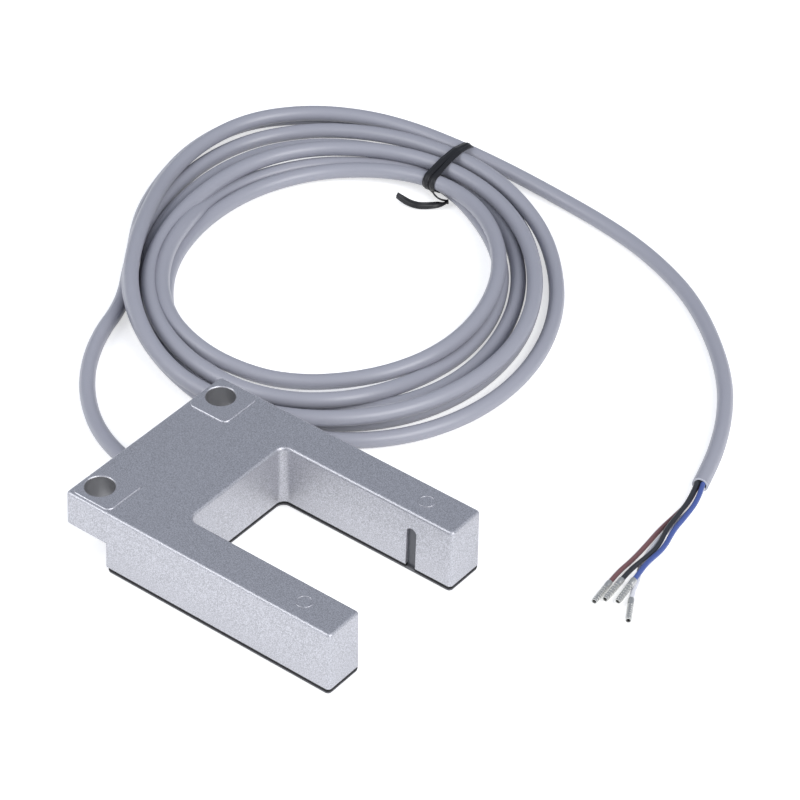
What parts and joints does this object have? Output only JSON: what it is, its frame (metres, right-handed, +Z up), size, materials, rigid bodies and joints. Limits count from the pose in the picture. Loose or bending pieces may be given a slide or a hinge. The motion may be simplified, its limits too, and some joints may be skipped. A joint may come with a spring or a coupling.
{
  "type": "fork light barrier sensor with cable",
  "caption": "Fork-shaped photoelectric sensor: die-cast housing with a slot between two prongs, fixing flange, dark side windows and a coiled grey cable with stripped wires.",
  "frame": {"origin": "middle of the sensor's underside, in plan the middle of its length and width without the cable", "axes": "+X along the prongs from the flange to the open end of the slot, +Y across the slot to the far prong, +Z up out of the plain top face"},
  "size_m": [0.1733, 0.1683, 0.0159],
  "materials": {
    "casting": "satin silver-grey lacquer on die-cast zinc",
    "cover_plastic": "fine matte dark grey plastic",
    "seal_rubber": "matte black",
    "window_plastic": "dark infrared-filter plastic",
    "holder_plastic": "matte black",
    "led_epoxy": "clear blue-tinted epoxy",
    "diode_epoxy": "dark epoxy",
    "laminate": "green solder mask",
    "chip_body": "moulded black",
    "tantalum": "moulded ochre",
    "resistor": "glazed black with bright ends",
    "ceramic": "tan ceramic",
    "gland_rubber": "matte black",
    "jacket": "matte grey PVC",
    "tie_plastic": "matte black",
    "wire_brown": "satin brown PVC",
    "wire_white": "satin white PVC",
    "wire_blue": "satin blue PVC",
    "wire_black": "satin black PVC",
    "ferrule_metal": "tinned, crimped"
  },
  "bodies": {
    "root": {"amplifier_ic": "chip_body", "black_core": "wire_black", "black_ferrule": "ferrule_metal", "black_wire": "wire_black", "blue_core": "wire_blue", "blue_ferrule": "ferrule_metal", "blue_wire": "wire_blue", "bottom_cover": "cover_plastic", "brown_core": "wire_brown", "brown_ferrule": "ferrule_metal", "brown_wire": "wire_brown", "cable_coil": "jacket", "cable_gland": "gland_rubber", "cable_lead": "jacket", "cable_tail": "jacket", "chip_capacitors": "ceramic", "chip_resistors": "resistor", "circuit_board": "laminate", "coil_tie": "tie_plastic", "cover_seal": "seal_rubber", "emitter_holder": "holder_plastic", "emitter_led": "led_epoxy", "emitter_window": "window_plastic", "housing": "casting", "output_driver": "chip_body", "receiver_holder": "holder_plastic", "receiver_photodiode": "diode_epoxy", "receiver_window": "window_plastic", "tantalum_capacitor": "tantalum", "voltage_regulator": "chip_body", "white_core": "wire_white", "white_ferrule": "ferrule_metal", "white_wire": "wire_white"}
  },
  "joints": []
}
